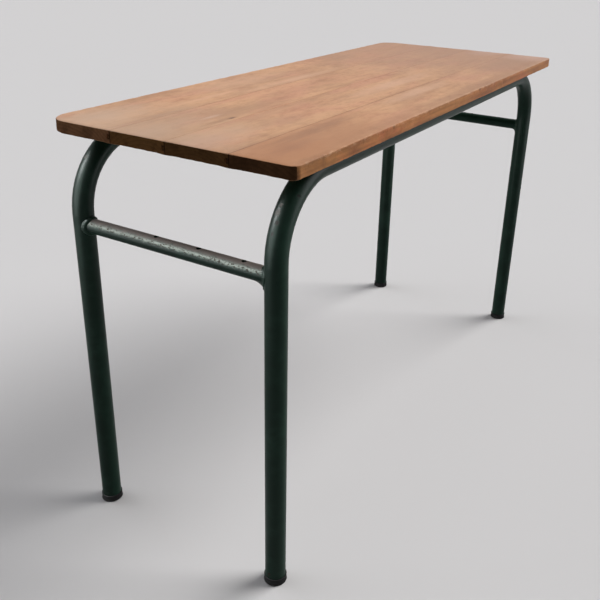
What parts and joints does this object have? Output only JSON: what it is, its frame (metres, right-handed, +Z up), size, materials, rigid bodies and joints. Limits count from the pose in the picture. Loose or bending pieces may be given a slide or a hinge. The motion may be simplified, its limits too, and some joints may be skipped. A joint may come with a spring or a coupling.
{
  "type": "school desk",
  "caption": "Long school desk with a tongue and groove wood top, rounded at the corners, on bent steel tube arches tied by a stretcher across each short end.",
  "frame": {"origin": "on the floor under the middle of the top", "axes": "+X along the length of the top to the right, -Y to the front long edge, +Z up"},
  "size_m": [1.2, 0.47, 0.74],
  "materials": {
    "wood_top": "worn satin varnish",
    "green_paint": "worn dark green gloss paint",
    "foot_rubber": "matt black rubber",
    "screw_steel": "dull zinc"
  },
  "bodies": {
    "root": {"top_board_1": "wood_top", "top_board_2": "wood_top", "top_board_3": "wood_top", "top_board_4": "wood_top", "front_arch_tube": "green_paint", "front_rail_screws": "screw_steel", "rear_arch_tube": "green_paint", "rear_rail_screws": "screw_steel", "left_stretcher": "green_paint", "weld_front_left": "green_paint", "foot_front_left": "foot_rubber", "weld_rear_left": "green_paint", "foot_rear_left": "foot_rubber", "right_stretcher": "green_paint", "weld_front_right": "green_paint", "foot_front_right": "foot_rubber", "weld_rear_right": "green_paint", "foot_rear_right": "foot_rubber"}
  },
  "joints": []
}
